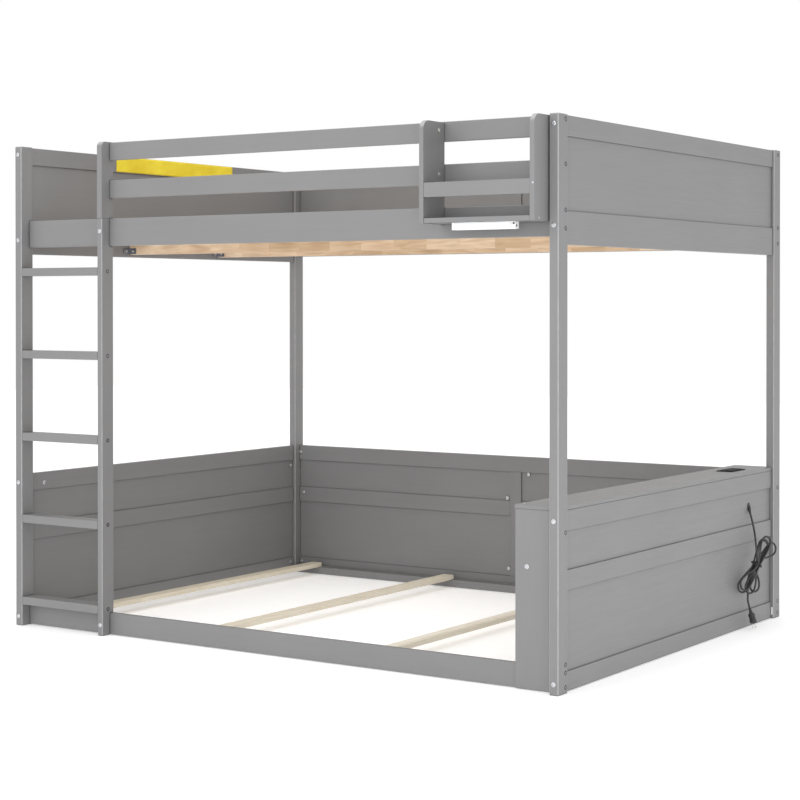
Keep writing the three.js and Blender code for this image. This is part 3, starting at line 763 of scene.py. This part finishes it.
# ---- light bar, sockets, paper strip ------------------------------------------------------------
def add_light_details():
    """The lens on the light bar's front and underside, its end caps, port and signal lamp."""
    low, high = bed_box("light_bar")
    middle = (low + high) / 2
    button_room, margin, proud, sunk, cap_thick = 26, 5, 0.9, 0.2, 1.6
    lens = bmesh.new()
    slab(lens, (low.x + margin, low.y - proud, low.z + 3),
         (high.x - button_room, low.y + sunk, high.z - 4))
    slab(lens, (low.x + margin, low.y + 3, low.z - proud), (high.x - margin, high.y - 3, low.z + sunk))
    piece = mesh_object("light_lens", lens, FROSTED, smooth=False)
    bevel(piece, 0.8, 3)
    caps = bmesh.new()
    for x0, x1 in ((low.x - cap_thick, low.x + 1), (high.x - 1, high.x + cap_thick)):
        slab(caps, (x0, low.y - 0.6, low.z - 0.6), (x1, high.y + 0.6, high.z - 0.4))
    piece = mesh_object("light_end_caps", caps, CAP_WHITE, smooth=False)
    bevel(piece, 1.0, 3)
    marks = [(high.x + cap_thick, low.y + 7, middle.z - 2, RIGHT),
             (high.x - 4, low.y - 0.1, high.z - 6, FRONT)]
    fixed("light_port", screw, marks, PORT_AND_HOLE_SHADE_BLACK)


def carve(piece, shape):
    """Cuts the volume of a bmesh out of a piece for good, and uses the bmesh up."""
    bmesh.ops.recalc_face_normals(shape, faces=shape.faces)
    data = bpy.data.meshes.new("cutter")
    shape.to_mesh(data)
    shape.free()
    cutter = bpy.data.objects.new("cutter", data)
    bpy.context.scene.collection.objects.link(cutter)
    modifier = piece.modifiers.new("cut", "BOOLEAN")
    modifier.operation = "DIFFERENCE"
    modifier.solver = "EXACT"
    modifier.object = cutter
    bpy.context.view_layer.update()
    shaped = bpy.data.meshes.new_from_object(
        piece.evaluated_get(bpy.context.evaluated_depsgraph_get()))
    piece.modifiers.clear()
    piece.data = shaped
    bpy.data.objects.remove(cutter)


# Half sizes of the socket unit's rim and of the rounded plate inside it, across and along.
RIM_HALF = (30, 59)
PLATE_HALF = (24, 53)


def add_socket_face():
    """Two mains outlets and two charging ports in the socket unit's face plate."""
    low, high = bed_box("charging_station")
    top = high.z
    x = low.x + RIM_HALF[0]
    y = low.y + RIM_HALF[1]
    face = bmesh.new()
    place = Matrix.Translation(at(x, y, top))
    rim = squircle(*PLATE_HALF, 6)
    crown = squircle(*(size - 1.2 for size in PLATE_HALF), 6)
    loft(face, [circle(rim, -0.4, 64), circle(rim, 1.0, 64), circle(crown, 1.6, 64)], place)
    plate = mesh_object("socket_face", face, SOCKET_BLACK)
    slots = bmesh.new()
    deep = (-0.2, 4)
    for centre in (y - 30, y + 4):
        for dy, half_long in ((-BLADE_OFFSET, 4.2), (BLADE_OFFSET, 3.6)):
            slot = Matrix.Translation(at(x + 3, centre + dy, top))
            loft(slots, [circle(squircle(half_long, 1.1, 8), z) for z in deep], slot)
        earth = Matrix.Translation(at(x - 8, centre, top))
        loft(slots, [circle(2.6, z) for z in deep], earth)
    for dx in (-9, 9):
        port = Matrix.Translation(at(x + dx, y + 36, top))
        loft(slots, [circle(squircle(3.0, 7.0, 8), z) for z in deep], port)
    carve(plate, slots)
    bevel(plate, 0.3)


def add_paper_strip():
    """A plain strip of coloured paper along the inside of the left end's top rail."""
    shape = bmesh.new()
    across, along_y = 10, 60
    x_face, y_from, y_to, z_from, z_to = 25.5, 494, 1177, 1644, 1702
    rows = []
    for i in range(along_y + 1):
        y = y_from + (y_to - y_from) * i / along_y
        row = []
        for k in range(across + 1):
            z = z_from + (z_to - z_from) * k / across
            lift = 0.55 + 0.3 * math.sin(y * 0.021 + k * 0.5) + 0.2 * math.sin(y * 0.063 - k)
            row.append(shape.verts.new(at(x_face + max(lift, 0.15), y, z)))
        rows.append(row)
    for low, high in zip(rows, rows[1:]):
        for k in range(across):
            shape.faces.new((low[k], low[k + 1], high[k + 1], high[k]))
    strip = mesh_object("paper_strip", shape, YELLOW)
    solidify = strip.modifiers.new("thickness", "SOLIDIFY")
    solidify.thickness = 0.2 * MM


# ---- studio -----------------------------------------------------------------------------------
FLOOR_HALF = 14
FLOOR_GLOW = 0.24
MIDDLE = (0, 0, 0.8)
RIGHT_END = (1.1, 0.1, 0.3)
# Area lights: where each is, what it faces, its two sides in metres, and its power in watts.
LIGHTS = {
    "key": ((-1.5, -5.0, 4.2), MIDDLE, (3.5, 3.0), 66),
    "fill": ((3.0, -5.2, 1.3), MIDDLE, (2.5, 2.0), 84),
    "side": ((3.0, -0.3, 0.3), RIGHT_END, (2.0, 0.5), 6),
    "back_right": ((4.0, 3.9, 1.0), (1.2, 0.5, 0.3), (0.6, 0.6), 4),
    "top": ((0.3, 0.3, 5.0), (0, 0, 0), (3.0, 3.0), 56),
}


def area_light(name, place, target, size, power):
    """A rectangular light at a place of the frame, turned to face a target."""
    data = bpy.data.lights.new(name, "AREA")
    data.shape = "RECTANGLE"
    data.size, data.size_y = size
    data.energy = power
    light = bpy.data.objects.new(name, data)
    light.location = place
    light.rotation_euler = (Vector(target) - Vector(place)).to_track_quat("-Z", "Y").to_euler()
    bpy.context.scene.collection.objects.link(light)


def make_floor():
    """A sheet of white paper that the bed stands on, which glows a little."""
    shape = bmesh.new()
    corners = [(x * FLOOR_HALF, y * FLOOR_HALF, 0) for x, y in ((-1, -1), (1, -1), (1, 1), (-1, 1))]
    shape.faces.new([shape.verts.new(corner) for corner in corners])
    data = bpy.data.meshes.new("floor")
    shape.to_mesh(data)
    shape.free()
    floor = bpy.data.objects.new("floor", data)
    bpy.context.scene.collection.objects.link(floor)
    paper = Finish("floor_paper", 0.85, specular=0.2)
    paper.color((0.9, 0.9, 0.9))
    paper.shader.inputs["Emission Color"].default_value = (1, 1, 1, 1)
    paper.shader.inputs["Emission Strength"].default_value = FLOOR_GLOW
    data.materials.append(paper.material)


def make_studio():
    """A pale floor, a white surrounding and soft lights."""
    make_floor()
    world = bpy.data.worlds.new("studio")
    world.use_nodes = True
    background = world.node_tree.nodes["Background"]
    background.inputs["Color"].default_value = (1, 1, 1, 1)
    background.inputs["Strength"].default_value = 1.0
    bpy.context.scene.world = world
    for name, settings in LIGHTS.items():
        area_light(name, *settings)
    bpy.context.scene.view_settings.view_transform = "Standard"


make_camera()
make_cord()
dress_packed_nodes()
add_fasteners()
add_beam_brackets()
add_straps()
add_light_details()
add_socket_face()
add_paper_strip()
make_studio()
